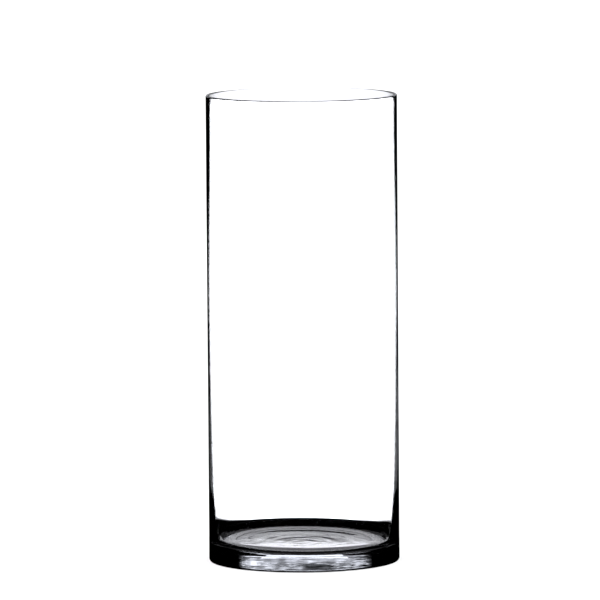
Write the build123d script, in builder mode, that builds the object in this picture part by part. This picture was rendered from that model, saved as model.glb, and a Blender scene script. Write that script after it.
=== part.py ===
"""Glass cylinder vase, blown in one piece: a straight tube on a thick, heavy base.

Millimetres. The origin is the centre of the ring that the vase stands on, and +Z runs up its axis to the
open mouth. The whole vase is one body of glass, so it is one solid: a section turned round the axis.
"""

import os
from math import asin, cos, degrees, radians

from build123d import *

# Driving dimensions
HEIGHT = 300.0
OUTER_DIAMETER = 122.5

MOUTH_WALL = 2.1  # at the mouth, where the lip was cut and fire-polished round
MOUTH_LENGTH = 16.0  # straight stretch of the inner wall below the lip
WAIST_WALL = 1.15  # the thinnest glass, about half way up
LOWER_WALL = 2.7  # the glass is thick again just above the base
UPPER_WAIST_HEIGHT = 0.63 * HEIGHT  # the thinnest glass lies between these two heights
LOWER_WAIST_HEIGHT = 0.48 * HEIGHT
SHOULDER_HEIGHT = 0.16 * HEIGHT  # where the wall is LOWER_WALL thick

FLOOR_HEIGHT = 9.0  # thickness of the base on the axis, down to the level of the foot
FLOOR_CURVE_RADIUS = 2000.0  # the floor dishes very slightly
FLOOR_RADIUS = 43.0  # where the floor starts to rise
FLOOR_EDGE_RADIUS = 50.0  # the floor's rising edge, between the floor and the corner
FLOOR_EDGE_TURN = 10.0  # how far the rising edge turns up, in degrees
CORNER_RADIUS = 6.2  # inside corner between the rising edge and the wall
CORNER_TOP_ANGLE = 86.4  # slope of the inner wall in degrees, where the corner meets it

BEVEL_SLOPE = 60.0  # the polished bevel round the foot, in degrees up from the table
BEVEL_LENGTH = 1.1  # measured along its slope
BEVEL_EDGE_RADIUS = 0.4  # eases the bevel into the foot and into the wall

FOOT_INNER_RADIUS = 45.0  # the vase stands on the ring outside this radius
PUNT_DEPTH = 1.0  # how far the underside is pushed up on the axis
PUNT_EDGE_RADIUS = 100.0  # eases the hollow into the foot ring

# Derived sizes
RADIUS = OUTER_DIAMETER / 2
MOUTH_RADIUS = RADIUS - MOUTH_WALL
MOUTH_BOTTOM = HEIGHT - MOUTH_LENGTH
LIP_RADIUS = MOUTH_WALL / 2
LIP_CENTRE_HEIGHT = HEIGHT - LIP_RADIUS
FLOOR_TURN = degrees(asin(FLOOR_RADIUS / FLOOR_CURVE_RADIUS))
CORNER_TURN = CORNER_TOP_ANGLE - FLOOR_TURN - FLOOR_EDGE_TURN
BEVEL_REACH = BEVEL_LENGTH * cos(radians(BEVEL_SLOPE)) + BEVEL_EDGE_RADIUS
FOOT_OUTER_RADIUS = RADIUS - BEVEL_REACH

# The hollow underside is two tangent arcs, one bending down and one bending level again, that together
# drop by PUNT_DEPTH from the axis to the foot ring. The large one's radius and turn follow from that.
PUNT_BOTH_RADII = (FOOT_INNER_RADIUS**2 + PUNT_DEPTH**2) / (2 * PUNT_DEPTH)
PUNT_RADIUS = PUNT_BOTH_RADII - PUNT_EDGE_RADIUS
PUNT_TURN = degrees(asin(FOOT_INNER_RADIUS / PUNT_BOTH_RADII))

# Directions in the section, as (radius, height)
OUTWARD = (1, 0)
UP = (0, 1)
DOWN = (0, -1)


with BuildPart() as vase:
    with BuildSketch(Plane.XZ):
        with BuildLine():
            # Underside, from the axis outwards
            punt = JernArc((0, PUNT_DEPTH), OUTWARD, PUNT_RADIUS, -PUNT_TURN)
            punt_edge = JernArc(punt @ 1, punt % 1, PUNT_EDGE_RADIUS, PUNT_TURN)
            foot = Line(punt_edge @ 1, (FOOT_OUTER_RADIUS, 0))
            # The bevel, between two small roundings
            foot_edge = JernArc(foot @ 1, OUTWARD, BEVEL_EDGE_RADIUS, BEVEL_SLOPE)
            bevel = Line(foot_edge @ 1, foot_edge @ 1 + BEVEL_LENGTH * (foot_edge % 1))
            wall_edge = JernArc(bevel @ 1, bevel % 1, BEVEL_EDGE_RADIUS, 90 - BEVEL_SLOPE)
            # Outer wall and the fire-polished lip
            outer_wall = Line(wall_edge @ 1, (RADIUS, LIP_CENTRE_HEIGHT))
            lip = JernArc(outer_wall @ 1, UP, LIP_RADIUS, 180)
            # Floor and inside corner, from the axis outwards
            floor = JernArc((0, FLOOR_HEIGHT), OUTWARD, FLOOR_CURVE_RADIUS, FLOOR_TURN)
            floor_edge = JernArc(floor @ 1, floor % 1, FLOOR_EDGE_RADIUS, FLOOR_EDGE_TURN)
            corner = JernArc(floor_edge @ 1, floor_edge % 1, CORNER_RADIUS, CORNER_TURN)
            # Inner wall, from the mouth down to the corner
            mouth = Line(lip @ 1, (MOUTH_RADIUS, MOUTH_BOTTOM))
            inner_wall = Spline(
                mouth @ 1,
                (RADIUS - WAIST_WALL, UPPER_WAIST_HEIGHT),
                (RADIUS - WAIST_WALL, LOWER_WAIST_HEIGHT),
                (RADIUS - LOWER_WALL, SHOULDER_HEIGHT),
                corner @ 1,
                tangents=(DOWN, -1 * (corner % 1)),
            )
            axis_line = Line(floor @ 0, punt @ 0)
        make_face()
    revolve(axis=Axis.Z)

vase.part.label = "vase_body"

os.makedirs("parts", exist_ok=True)
export_step(vase.part, "parts/vase_body.step")
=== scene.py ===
"""Glass cylinder vase, blown in one piece: its glass as a mesh, its material, and a small studio for glass.

Metres, in the frame's own axes. The vase stands on z = 0 with its axis on Z. The camera looks along +Y.
"""

from math import asin, atan2, cos, degrees, hypot, pi, radians, sin

import bpy
from mathutils import Matrix, Vector, noise


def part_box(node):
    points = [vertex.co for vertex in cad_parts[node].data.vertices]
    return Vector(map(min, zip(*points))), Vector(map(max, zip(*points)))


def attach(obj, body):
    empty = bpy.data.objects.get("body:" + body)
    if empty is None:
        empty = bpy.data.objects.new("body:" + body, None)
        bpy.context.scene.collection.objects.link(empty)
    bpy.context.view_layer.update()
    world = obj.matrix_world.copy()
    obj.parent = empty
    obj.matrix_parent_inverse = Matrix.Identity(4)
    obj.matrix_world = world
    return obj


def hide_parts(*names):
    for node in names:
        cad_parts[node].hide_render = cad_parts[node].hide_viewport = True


MM = 0.001

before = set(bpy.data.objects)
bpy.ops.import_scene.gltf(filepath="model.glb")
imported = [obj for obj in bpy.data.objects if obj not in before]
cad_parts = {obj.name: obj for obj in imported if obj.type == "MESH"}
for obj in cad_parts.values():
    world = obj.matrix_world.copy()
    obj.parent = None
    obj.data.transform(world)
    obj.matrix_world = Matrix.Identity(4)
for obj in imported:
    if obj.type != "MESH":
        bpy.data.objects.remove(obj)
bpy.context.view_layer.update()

# ---------------------------------------------------------------- the vase's sizes
low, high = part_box("vase_body")
RADIUS = (high.x - low.x) / 2
HEIGHT = high.z

MOUTH_WALL = 2.1 * MM
MOUTH_LENGTH = 16 * MM
WAIST_WALL = 1.15 * MM
LOWER_WALL = 2.7 * MM
UPPER_WAIST_HEIGHT = 0.63 * HEIGHT
LOWER_WAIST_HEIGHT = 0.48 * HEIGHT
SHOULDER_HEIGHT = 0.16 * HEIGHT
FLOOR_HEIGHT = 9.0 * MM
FLOOR_CURVE_RADIUS = 2000 * MM
FLOOR_RADIUS = 43.0 * MM
FLOOR_EDGE_RADIUS = 50 * MM
FLOOR_EDGE_TURN = 10.0
CORNER_RADIUS = 6.2 * MM
CORNER_TOP_ANGLE = 86.4
BEVEL_SLOPE = 60.0
BEVEL_LENGTH = 1.1 * MM
BEVEL_EDGE_RADIUS = 0.4 * MM
FOOT_INNER_RADIUS = 45 * MM
PUNT_DEPTH = 1.0 * MM
PUNT_EDGE_RADIUS = 100 * MM

AROUND = 256  # vertices in each ring


# ---------------------------------------------------------------- the section
class Pen:
    """Draws the vase's section as points (radius, height), from a start and a heading in degrees."""

    def __init__(self, radius, height, heading):
        self.at = Vector((radius, height))
        self.heading = radians(heading)
        self.points = [self.at.copy()]

    def ahead(self):
        return Vector((cos(self.heading), sin(self.heading)))

    def arc(self, radius, turn, steps):
        """Turns left through turn degrees, or right where turn is negative, in steps equal parts."""
        side = 1 if turn > 0 else -1
        centre = self.at + side * radius * Vector((-sin(self.heading), cos(self.heading)))
        arm = self.at - centre
        for step in range(1, steps + 1):
            angle = radians(turn) * step / steps
            self.points.append(centre + Matrix.Rotation(angle, 2) @ arm)
        self.at = self.points[-1].copy()
        self.heading += radians(turn)

    def line_to(self, radius, height, steps):
        start, end = self.at.copy(), Vector((radius, height))
        for step in range(1, steps + 1):
            self.points.append(start.lerp(end, step / steps))
        self.at = end

    def curve_through(self, stops, end_heading, steps):
        """A smooth curve through the stops, leaving at the heading and arriving at end_heading."""
        knots = [self.at.copy()] + [Vector(stop) for stop in stops]
        slopes = [(b - a).normalized() for a, b in zip(knots, knots[2:])]
        finish = Vector((cos(radians(end_heading)), sin(radians(end_heading))))
        slopes = [self.ahead()] + slopes + [finish]
        for i in range(len(knots) - 1):
            a, b = knots[i], knots[i + 1]
            span = (b - a).length
            for step in range(1, steps + 1):
                t = step / steps
                self.points.append(
                    a * (2 * t**3 - 3 * t**2 + 1)
                    + slopes[i] * span * (t**3 - 2 * t**2 + t)
                    + b * (3 * t**2 - 2 * t**3)
                    + slopes[i + 1] * span * (t**3 - t**2)
                )
        self.at = knots[-1]
        self.heading = radians(end_heading)


def underside_and_outer_wall():
    """From the axis under the base, out over the foot and the bevel, up the outer wall and over the lip."""
    both_radii = (FOOT_INNER_RADIUS**2 + PUNT_DEPTH**2) / (2 * PUNT_DEPTH)
    turn = degrees(asin(FOOT_INNER_RADIUS / both_radii))
    bevel_reach = BEVEL_LENGTH * cos(radians(BEVEL_SLOPE)) + BEVEL_EDGE_RADIUS
    lip_radius = MOUTH_WALL / 2
    pen = Pen(0, PUNT_DEPTH, 0)
    pen.arc(both_radii - PUNT_EDGE_RADIUS, -turn, 60)
    pen.arc(PUNT_EDGE_RADIUS, turn, 8)
    pen.line_to(RADIUS - bevel_reach, 0, 6)
    pen.arc(BEVEL_EDGE_RADIUS, BEVEL_SLOPE, 6)
    bevel_end = pen.at + BEVEL_LENGTH * pen.ahead()
    pen.line_to(bevel_end.x, bevel_end.y, 5)
    pen.arc(BEVEL_EDGE_RADIUS, 90 - BEVEL_SLOPE, 5)
    pen.line_to(RADIUS, HEIGHT - lip_radius, 60)
    pen.arc(lip_radius, 180, 16)
    return pen.points


def inner_wall_and_floor():
    """From the lip down the inner wall, round the corner and over the floor to the axis."""
    # the floor, its rising edge and the corner are drawn outwards from the axis, as in the design
    floor_turn = degrees(asin(FLOOR_RADIUS / FLOOR_CURVE_RADIUS))
    inside = Pen(0, FLOOR_HEIGHT, 0)
    inside.arc(FLOOR_CURVE_RADIUS, floor_turn, 62)
    inside.arc(FLOOR_EDGE_RADIUS, FLOOR_EDGE_TURN, 10)
    inside.arc(CORNER_RADIUS, CORNER_TOP_ANGLE - floor_turn - FLOOR_EDGE_TURN, 22)
    mouth = Pen(RADIUS - MOUTH_WALL, HEIGHT - MOUTH_WALL / 2, -90)
    mouth.line_to(RADIUS - MOUTH_WALL, HEIGHT - MOUTH_LENGTH, 4)
    mouth.curve_through(
        [
            (RADIUS - WAIST_WALL, UPPER_WAIST_HEIGHT),
            (RADIUS - WAIST_WALL, LOWER_WAIST_HEIGHT),
            (RADIUS - LOWER_WALL, SHOULDER_HEIGHT),
            tuple(inside.at),
        ],
        CORNER_TOP_ANGLE - 180,
        16,
    )
    return mouth.points[1:] + inside.points[-2::-1]


# ---------------------------------------------------------------- the small unevenness of blown glass
def smooth(t):
    t = min(max(t, 0.0), 1.0)
    return t * t * (3 - 2 * t)


def inner_shift(point):
    """How far a point of the inner surface is from its place on a perfect vase."""
    x, y, z = point
    up = z / HEIGHT
    radius, angle = hypot(x, y), atan2(y, x)
    # the inside wanders off the axis on its way up
    drift = Vector((0.45 * (up - 0.45) * MM, 0.12 * sin(4 * up) * MM, 0))
    # the bottom of the inside leans a little
    low_down = smooth((40 * MM - z) / (20 * MM))
    lean = (-0.002 * y - 0.010 * x) * low_down
    # the floor has faint rings and slow lumps in it, from the mould
    on_floor = smooth((FLOOR_RADIUS + 6 * MM - radius) / (8 * MM)) * low_down
    swirl = sin(radius / (2.1 * MM) + 2 * angle) + 0.6 * sin(radius / (1.1 * MM) - 2 * angle)
    swirl *= smooth(radius / (8 * MM))
    lumps = noise.noise(Vector((x, y, z)) / (14 * MM))
    ripple = (0.018 * swirl + 0.05 * lumps) * MM * on_floor
    return drift + Vector((0, 0, lean + ripple))


def underside_shift(point):
    """The same for a point of the hollow underside, which is slightly wavy."""
    x, y, z = point
    radius = hypot(x, y)
    waves = noise.noise(Vector((x, y, 0)) / (9 * MM)) + 0.5 * noise.noise(Vector((x, y, 7)) / (4 * MM))
    fade = smooth(radius / (8 * MM)) * smooth((FOOT_INNER_RADIUS - radius) / (6 * MM))
    return Vector((0, 0, 0.07 * MM * waves * fade))


# ---------------------------------------------------------------- the mesh
def lathe(name, section, shift):
    """Turns a section round Z into a closed mesh. The section starts and ends on the axis."""
    bottom = Vector((0, 0, section[0].y))
    top = Vector((0, 0, section[-1].y))
    verts = [bottom + shift(0, bottom)]
    for index, (radius, height) in enumerate(section[1:-1]):
        for k in range(AROUND):
            angle = 2 * pi * k / AROUND
            point = Vector((radius * cos(angle), radius * sin(angle), height))
            verts.append(point + shift(index, point))
    verts.append(top + shift(len(section), top))
    faces = []
    rings = len(section) - 2
    for k in range(AROUND):
        nxt = (k + 1) % AROUND
        faces.append((0, 1 + nxt, 1 + k))
        for ring in range(rings - 1):
            a, b = 1 + ring * AROUND, 1 + (ring + 1) * AROUND
            faces.append((a + k, a + nxt, b + nxt, b + k))
        last = 1 + (rings - 1) * AROUND
        faces.append((last + k, last + nxt, len(verts) - 1))
    mesh = bpy.data.meshes.new(name)
    mesh.from_pydata(verts, [], faces)
    mesh.validate()
    mesh.shade_smooth()
    piece = bpy.data.objects.new(name, mesh)
    bpy.context.scene.collection.objects.link(piece)
    return piece


def make_vase():
    outside = underside_and_outer_wall()
    section = outside + inner_wall_and_floor()
    last_outside = len(outside) - 1

    def shift(index, point):
        if index >= last_outside:
            return inner_shift(point)
        if point.z < 2 * PUNT_DEPTH and hypot(point.x, point.y) < FOOT_INNER_RADIUS:
            return underside_shift(point)
        return Vector((0, 0, 0))

    return lathe("vase_glass", section, shift)


# ---------------------------------------------------------------- node trees
class Graph:
    """Short calls for the sums in a node tree."""

    def __init__(self, tree):
        self.tree = tree

    def node(self, kind, **settings):
        made = self.tree.nodes.new(kind)
        for key, value in settings.items():
            setattr(made, key, value)
        return made

    def put(self, value, socket):
        if hasattr(value, "is_output"):
            self.tree.links.new(value, socket)
        else:
            socket.default_value = value

    def math(self, operation, *values):
        made = self.node("ShaderNodeMath", operation=operation)
        for value, socket in zip(values, made.inputs):
            self.put(value, socket)
        return made.outputs[0]

    def times(self, first, *others):
        for other in others:
            first = self.math("MULTIPLY", first, other)
        return first

    def ramp(self, value, start, end, low=0.0, high=1.0):
        """low up to start, high past end, and a smooth change between."""
        made = self.node("ShaderNodeMapRange", interpolation_type="SMOOTHSTEP")
        names = ("Value", "From Min", "From Max", "To Min", "To Max")
        for item, name in zip((value, start, end, low, high), names):
            self.put(item, made.inputs[name])
        return made.outputs["Result"]

    def mix(self, factor, a, b):
        """a where factor is 0 and b where it is 1."""
        rest = self.math("SUBTRACT", 1.0, factor)
        return self.math("ADD", self.times(a, rest), self.times(b, factor))

    def split(self, vector):
        """A vector's x, y and z."""
        made = self.node("ShaderNodeSeparateXYZ")
        self.put(vector, made.inputs[0])
        return made.outputs

    def distance(self, place, centre=(0, 0, 0)):
        made = self.node("ShaderNodeVectorMath", operation="DISTANCE")
        self.put(place, made.inputs[0])
        made.inputs[1].default_value = centre
        return made.outputs["Value"]

    def noise(self, vector, scale=(1, 1, 1), detail=2.0):
        stretch = self.node("ShaderNodeVectorMath", operation="MULTIPLY")
        self.put(vector, stretch.inputs[0])
        stretch.inputs[1].default_value = scale
        made = self.node("ShaderNodeTexNoise")
        self.put(stretch.outputs[0], made.inputs["Vector"])
        made.inputs["Scale"].default_value = 1.0
        made.inputs["Detail"].default_value = detail
        return made.outputs[0]

    def bearing(self, direction, azimuth):
        """How many degrees a direction lies from an azimuth round Z, which is measured from +X."""
        x, y, z = self.split(direction)
        along = self.math("ADD", self.times(x, cos(radians(azimuth))), self.times(y, sin(radians(azimuth))))
        flat = self.math("SQRT", self.math("ADD", self.times(x, x), self.times(y, y)))
        cosine = self.math("DIVIDE", along, self.math("MAXIMUM", flat, 1e-6))
        return self.math("DEGREES", self.math("ARCCOSINE", cosine))


class Ray:
    """How the ray that looks at a surface or at the world has come through the glass."""

    def __init__(self, graph):
        path = graph.node("ShaderNodeLightPath")
        crossings = path.outputs["Transmission Depth"]
        mirrorings = path.outputs["Glossy Depth"]
        self.from_camera = path.outputs["Is Camera Ray"]
        self.matt = graph.math("GREATER_THAN", path.outputs["Diffuse Depth"], 0.5)
        # through one stretch of glass, such as the base, and not through the front and the back wall
        self.solid = graph.math("LESS_THAN", crossings, 2.5)
        self.entered = graph.math("GREATER_THAN", crossings, 0.5)
        self.mirrored = graph.math("GREATER_THAN", mirrorings, 0.5)
        self.few_mirrorings = graph.math("LESS_THAN", mirrorings, 2.5)
        self.twice_mirrored = graph.times(self.solid, graph.math("GREATER_THAN", mirrorings, 1.5))


# ---------------------------------------------------------------- the glass
SCUFF_SCALE = (900, 900, 900)  # about a millimetre from one scuff to the next
SCUFF_ROUGHNESS = 0.15
SCUFFS_FROM = 50 * MM  # they grow from this distance from the axis
SCUFFS_TO = 56 * MM  # to their full strength at this one
SCUFFS_UP_TO = 0.3 * MM


def glass_material():
    """Clear glass with a faint cool tint in its depth, and scuffs where the foot stands on the table."""
    mat = bpy.data.materials.new("clear_glass")
    mat.use_nodes = True
    graph = Graph(mat.node_tree)
    shader = mat.node_tree.nodes["Principled BSDF"]
    shader.inputs["Base Color"].default_value = (1, 1, 1, 1)
    shader.inputs["IOR"].default_value = 1.5
    shader.inputs["Transmission Weight"].default_value = 1.0
    place = graph.node("ShaderNodeTexCoord").outputs["Object"]
    outer_part = graph.ramp(graph.distance(place), SCUFFS_FROM, SCUFFS_TO)
    lowest_part = graph.ramp(graph.split(place)[2], SCUFFS_UP_TO / 3, SCUFFS_UP_TO, 1.0, 0.0)
    grain = graph.noise(place, SCUFF_SCALE, detail=3.0)
    scuffs = graph.ramp(grain, 0.45, 0.65, 0.0, SCUFF_ROUGHNESS)
    graph.put(graph.times(scuffs, outer_part, lowest_part), shader.inputs["Roughness"])
    absorb = graph.node("ShaderNodeVolumeAbsorption")
    absorb.inputs["Color"].default_value = (0.80, 0.86, 1.0, 1)
    absorb.inputs["Density"].default_value = 4.0
    graph.put(absorb.outputs[0], mat.node_tree.nodes["Material Output"].inputs["Volume"])
    return mat


# ---------------------------------------------------------------- the studio's light, as the glass sees it
# Clear glass shows only its surroundings. A bright sweep behind the vase makes the wall white, and a dark
# room and a patch of painted shadow on the table make its edges and the corner over the base black. Azimuths
# are degrees round Z from +X, elevations are degrees above the horizon, and a ray's direction is where it
# leaves for.
AHEAD = 90  # azimuth behind the vase, where the camera looks

BACKDROP = 5.0
RIM_BACKDROP = 1.7
MIDDLE_OF_RIM_LIGHT = 0.8
PANEL = 1.3
HIGH_LIGHT = 1.6
SOFT_LIGHT = 1.6
STRIP_LIGHT = 1.2
FLOOR_LIGHT = 1.6

# azimuth, half width, lowest and highest elevation, brightness
PANELS = [
    (90, 30, 2.0, 20.0, 0.14),
    (90, 23, 3.0, 6.2, 0.8),
    (90, 27, 6.6, 9.0, 1.0),
    (74, 14, 9.4, 20.0, 0.7),
    (110, 10, 9.4, 20.0, 0.7),
    (67, 5, 8.5, 13.0, 1.3),
]


class Sky(Graph):
    """The world's node tree, with the direction and the history of the ray that reached it."""

    def __init__(self, tree):
        super().__init__(tree)
        self.direction = self.node("ShaderNodeTexCoord").outputs["Generated"]
        self.elevation = self.math("DEGREES", self.math("ARCSINE", self.split(self.direction)[2]))
        self.off_axis = self.bearing(self.direction, AHEAD)
        self.ray = Ray(self)
        self.mottle = self.ramp(self.noise(self.direction, (9, 1, 14), detail=3.0), 0.38, 0.62, 0.35, 1.25)

    def panel(self, azimuth, half_width, lowest, highest, soft=0.5, wander=0.0):
        """1 towards a soft-edged bright panel, and 0 elsewhere. Its sides wander in and out."""
        off = self.math("ADD", self.bearing(self.direction, azimuth), wander)
        across = self.ramp(off, half_width - soft, half_width + soft, 1.0, 0.0)
        above = self.ramp(self.elevation, lowest - soft, lowest + soft)
        below = self.ramp(self.elevation, highest - soft, highest + soft, 1.0, 0.0)
        return self.times(across, above, below)

    def larger(self, a, b):
        return self.math("MAXIMUM", a, b)

    def room(self):
        """Above the horizon: a dark room with bright panels."""
        ray = self.ray
        streaks = self.noise(self.direction, (2, 0, 45))
        wander = self.ramp(streaks, 0.3, 0.7, -4.0, 4.0)
        panels = 0.0
        for azimuth, half_width, lowest, highest, level in PANELS:
            lit = self.panel(azimuth, half_width, lowest, highest, wander=wander)
            panels = self.larger(panels, self.times(lit, level))
        panels = self.times(panels, self.mottle)
        panels = self.larger(panels, self.times(self.panel(AHEAD, 21, 18, 38), HIGH_LIGHT))
        # straight through the base only the middle of it shows, with a bright strip
        direct = self.math("SUBTRACT", ray.solid, self.times(ray.solid, ray.mirrored))
        middle = self.mix(direct, 1.0, self.ramp(self.off_axis, 20, 22, 1.0, 0.0))
        strip = self.times(direct, self.panel(AHEAD, 20, 4, 16), STRIP_LIGHT)
        through_solid = self.larger(self.times(panels, middle), strip)
        # mirrored in the floor, over the back wall, it is one soft light
        soft_light = self.times(self.panel(AHEAD, 10, 1, 9.0, 2.0), SOFT_LIGHT)
        through_walls = self.larger(self.times(through_solid, 0.2), soft_light)
        return self.times(self.mix(ray.solid, through_walls, through_solid), ray.few_mirrorings)

    def sweep(self):
        """Below the horizon and through both walls: the bright sweep, down to the dark table's edge."""
        table_edge = self.math("MULTIPLY_ADD", self.off_axis, -0.178, -14.0)
        steepest = self.ramp(self.off_axis, 28, 36, table_edge, -45.0)
        over_table = self.ramp(self.math("SUBTRACT", self.elevation, steepest), -0.15, 0.15)
        rim_only = self.times(self.ramp(self.elevation, -6.0, -4.8), self.ramp(self.off_axis, 3, 6, 1.0, 0.0))
        rim_level = self.ramp(self.off_axis, 0.3, 3.0, BACKDROP, RIM_BACKDROP)
        sweep = self.times(self.mix(rim_only, BACKDROP, rim_level), over_table)
        return self.larger(sweep, self.ramp(self.off_axis, 0.5, 7.0, MIDDLE_OF_RIM_LIGHT, 0.0))

    def sweep_through_base(self):
        """Below the horizon and through the base alone: narrower near the horizon."""
        ahead = self.ramp(self.off_axis, 20, 22, PANEL, 0.0)
        left = self.ramp(self.bearing(self.direction, 180), 8, 12, PANEL, 0.0)
        return self.mix(self.ramp(self.elevation, -11, -9), PANEL, self.larger(ahead, left))

    def sweep_mirrored(self):
        """Below the horizon, after a bounce in the glass."""
        narrow = self.ramp(self.off_axis, 6, 9, 1.0, 0.0)
        off_floor = self.times(narrow, self.ramp(self.elevation, -12, -8, 0.3, 1.1))
        in_solid = self.ramp(self.off_axis, 6, 9, 0.35, 0.0)
        # the lowest part of the light patch in the base, with a dark smudge in it
        smudge = self.ramp(self.bearing(self.direction, 96), 4, 9, 0.15, 1.0)
        low_light = self.times(
            self.ramp(self.off_axis, 24, 28, 0.8, 0.0),
            smudge,
            self.ramp(self.elevation, -10.5, -9.5, self.mottle, 0.0),
        )
        twice = self.times(self.ray.twice_mirrored, self.ray.entered)
        return self.mix(twice, self.mix(self.ray.solid, off_floor, in_solid), low_light)


def make_world():
    world = bpy.data.worlds.new("studio")
    bpy.context.scene.world = world
    world.use_nodes = True
    sky = Sky(world.node_tree)
    ray = sky.ray
    unmirrored = sky.mix(ray.solid, sky.sweep(), sky.sweep_through_base())
    below = sky.mix(ray.mirrored, unmirrored, sky.sweep_mirrored())
    seen = sky.mix(sky.ramp(sky.elevation, -0.5, 0.5), below, sky.room())
    # the camera sees plain white behind the vase, and the matt floor gets even light
    seen = sky.mix(ray.matt, seen, FLOOR_LIGHT)
    seen = sky.mix(ray.from_camera, seen, 1.0)
    background = world.node_tree.nodes["Background"]
    sky.put(seen, background.inputs["Strength"])
    tint = sky.node("ShaderNodeMix", data_type="RGBA")
    sky.put(sky.larger(ray.from_camera, ray.matt), tint.inputs["Factor"])
    tinted, plain, colour = tint.inputs[6], tint.inputs[7], tint.outputs[2]
    tinted.default_value = (0.94, 0.95, 1, 1)
    plain.default_value = (1, 1, 1, 1)
    sky.put(colour, background.inputs["Color"])


# ---------------------------------------------------------------- the floor, the patch of painted shadow and light, and the camera
def make_plane(name, half_size, height=0.0):
    signs = [(-1, -1), (1, -1), (1, 1), (-1, 1)]
    corners = [(x * half_size, y * half_size, height) for x, y in signs]
    mesh = bpy.data.meshes.new(name)
    mesh.from_pydata(corners, [], [(0, 1, 2, 3)])
    plane = bpy.data.objects.new(name, mesh)
    bpy.context.scene.collection.objects.link(plane)
    mat = bpy.data.materials.new(name)
    mat.use_nodes = True
    mesh.materials.append(mat)
    return plane, mat


def make_floor():
    """The pale floor that the camera sees. The glass sees the world's sweep in its place."""
    floor, mat = make_plane("floor", 7.0)
    floor.visible_transmission = False
    floor.visible_glossy = False
    shader = mat.node_tree.nodes["Principled BSDF"]
    shader.inputs["Base Color"].default_value = (0.9, 0.9, 0.9, 1)
    shader.inputs["Roughness"].default_value = 1.0
    shader.inputs["Specular IOR Level"].default_value = 0.0


PAINTED_PATCH_HALF_SIZE = 200 * MM
PAINTED_PATCH_DROP = 0.3 * MM  # the painted patch lies this far below the foot
LIT_RADIUS = 40 * MM  # light comes up through the table this far from the axis
LIT_LEVEL = 1.25
FAINT_RADIUS = 43 * MM  # and more faintly out to here
FAINT_LEVEL = 0.2
FOOT_LIT_RADIUS = 53 * MM  # and hardly at all under the foot ring
FOOT_LIT_LEVEL = 0.12
MIRRORED_LEVEL = 0.12  # how much of it is left after a bounce inside the base
UNLIT_EDGE_CENTRE = (0, 60 * MM, 0)  # its near side is cut off by a circle round this
UNLIT_EDGE_RADIUS = 74 * MM
SHADOW_PATCH_CENTRE = (-4 * MM, 12 * MM, 0)
SHADOW_PATCH_RADIUS = 110 * MM


def make_painted_shadow_and_glow():
    """The patch of table round the foot, as the glass sees it: a dark painted shadow, and a painted pool of
    light under the vase.
    """
    painted_shadow_and_glow, mat = make_plane("painted_shadow_and_glow", PAINTED_PATCH_HALF_SIZE, -PAINTED_PATCH_DROP)
    painted_shadow_and_glow.visible_camera = False
    painted_shadow_and_glow.visible_diffuse = False
    painted_shadow_and_glow.visible_shadow = False
    mat.node_tree.nodes.clear()
    graph = Graph(mat.node_tree)
    ray = Ray(graph)
    place = graph.node("ShaderNodeNewGeometry").outputs["Position"]
    from_axis = graph.distance(place)

    # painted light and shade: a pool of light under the vase that fades under the foot ring, and dark painted
    # shadow round it
    under_foot = graph.ramp(from_axis, FOOT_LIT_RADIUS, FOOT_LIT_RADIUS + 3 * MM, FOOT_LIT_LEVEL, 0.0)
    faint = graph.ramp(from_axis, FAINT_RADIUS, FAINT_RADIUS + 5 * MM, FAINT_LEVEL, under_foot)
    from_edge_centre = graph.distance(place, UNLIT_EDGE_CENTRE)
    far_side = graph.ramp(from_edge_centre, UNLIT_EDGE_RADIUS, UNLIT_EDGE_RADIUS + 12 * MM, 1.0, 0.0)
    bright = graph.times(graph.ramp(from_axis, LIT_RADIUS, LIT_RADIUS + 6 * MM, LIT_LEVEL, 0.0), far_side)
    cloudy = graph.ramp(graph.noise(place, (45, 45, 45)), 0.35, 0.65, 0.8, 0.95)
    dimmed = graph.mix(graph.times(ray.mirrored, ray.solid), 1.0, MIRRORED_LEVEL)
    # the glow is painted light, not a lamp; where its strength is 0 the patch is painted shadow
    glow = graph.node("ShaderNodeEmission")
    glow.inputs["Color"].default_value = (0.93, 0.93, 1.0, 1)
    graph.put(graph.times(graph.math("MAXIMUM", faint, bright), cloudy, dimmed), glow.inputs["Strength"])

    # beyond the patch of painted shadow the sweep shows again
    beyond = graph.ramp(graph.distance(place, SHADOW_PATCH_CENTRE), SHADOW_PATCH_RADIUS, SHADOW_PATCH_RADIUS + 10 * MM)
    beside_foot = graph.times(ray.twice_mirrored, graph.ramp(from_axis, 60 * MM, 62 * MM))
    clear = graph.node("ShaderNodeBsdfTransparent")
    choose = graph.node("ShaderNodeMixShader")
    graph.put(graph.math("MAXIMUM", beside_foot, beyond), choose.inputs[0])
    graph.put(glow.outputs[0], choose.inputs[1])
    graph.put(clear.outputs[0], choose.inputs[2])
    out = graph.node("ShaderNodeOutputMaterial")
    graph.put(choose.outputs[0], out.inputs[0])


CAMERA_AWAY = 4.3
CAMERA_HEIGHT = 0.616
CAMERA_PITCH = 5.9516
CAMERA_ROLL = -0.40
CAMERA_YAW = 0.0226
FOCAL_LENGTH = 404.6


def make_camera():
    data = bpy.data.cameras.new("camera")
    data.lens = FOCAL_LENGTH
    data.sensor_width = 36
    data.clip_end = 100
    camera = bpy.data.objects.new("camera", data)
    bpy.context.scene.collection.objects.link(camera)
    turn = (
        Matrix.Rotation(radians(CAMERA_YAW), 4, "Z")
        @ Matrix.Rotation(radians(90 - CAMERA_PITCH), 4, "X")
        @ Matrix.Rotation(radians(CAMERA_ROLL), 4, "Z")
    )
    camera.matrix_world = Matrix.Translation((0, -CAMERA_AWAY, CAMERA_HEIGHT)) @ turn
    bpy.context.scene.camera = camera


make_camera()
make_world()
make_floor()
make_painted_shadow_and_glow()
bpy.context.scene.view_settings.view_transform = "Standard"

vase = make_vase()
vase.data.materials.append(glass_material())
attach(vase, "root")
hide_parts("vase_body")
